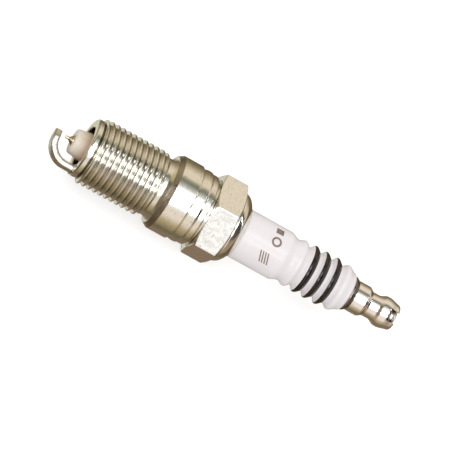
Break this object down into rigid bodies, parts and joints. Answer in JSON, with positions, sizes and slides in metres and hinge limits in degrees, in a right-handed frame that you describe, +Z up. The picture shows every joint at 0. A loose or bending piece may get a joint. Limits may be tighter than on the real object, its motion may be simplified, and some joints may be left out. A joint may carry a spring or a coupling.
{
  "type": "spark plug",
  "caption": "Spark plug lying on its side: threaded steel shell with conical seat and hexagon, ribbed ceramic insulator, screwed terminal nut, fine centre tip under a hooked ground electrode.",
  "frame": {"origin": "on the plug's axis, at the gauge plane of the conical seat, where the seat's small end meets the step behind the thread", "axes": "+X along the plug's axis towards the terminal, +Z up with one flat of the hexagon facing down, +Y completes the right-handed frame"},
  "size_m": [0.077, 0.0182, 0.0158],
  "materials": {
    "shell_plating": "satin",
    "insulator_ceramic": "gloss",
    "band_glaze": "gloss",
    "terminal_plating": "satin",
    "stud_steel": "satin",
    "seal_glass": "satin",
    "resistor_fill": "matte",
    "electrode_nickel": "satin",
    "copper": "satin",
    "iridium": "satin",
    "weld_metal": "satin",
    "ring_steel": "satin",
    "talc": "matte"
  },
  "bodies": {
    "plug_body": {"metal_shell": "shell_plating", "insulator": "insulator_ceramic", "black_band_1": "band_glaze", "black_band_2": "band_glaze", "black_band_3": "band_glaze", "terminal_stud": "stud_steel", "upper_glass_seal": "seal_glass", "resistor": "resistor_fill", "lower_glass_seal": "seal_glass", "center_electrode": "electrode_nickel", "copper_core": "copper", "iridium_tip": "iridium", "tip_weld": "weld_metal", "ground_electrode": "electrode_nickel", "ground_weld": "weld_metal", "plate_packing": "ring_steel", "talc_ring": "talc", "lower_wire_ring": "ring_steel", "upper_wire_ring": "ring_steel"},
    "removable_nut": {"terminal_nut": "terminal_plating"}
  },
  "joints": [
    {"name": "nut_unscrew", "type": "slide", "parent": "plug_body", "child": "removable_nut", "axis": [1, 0, 0], "range_m": [0, 0.0095]}
  ]
}
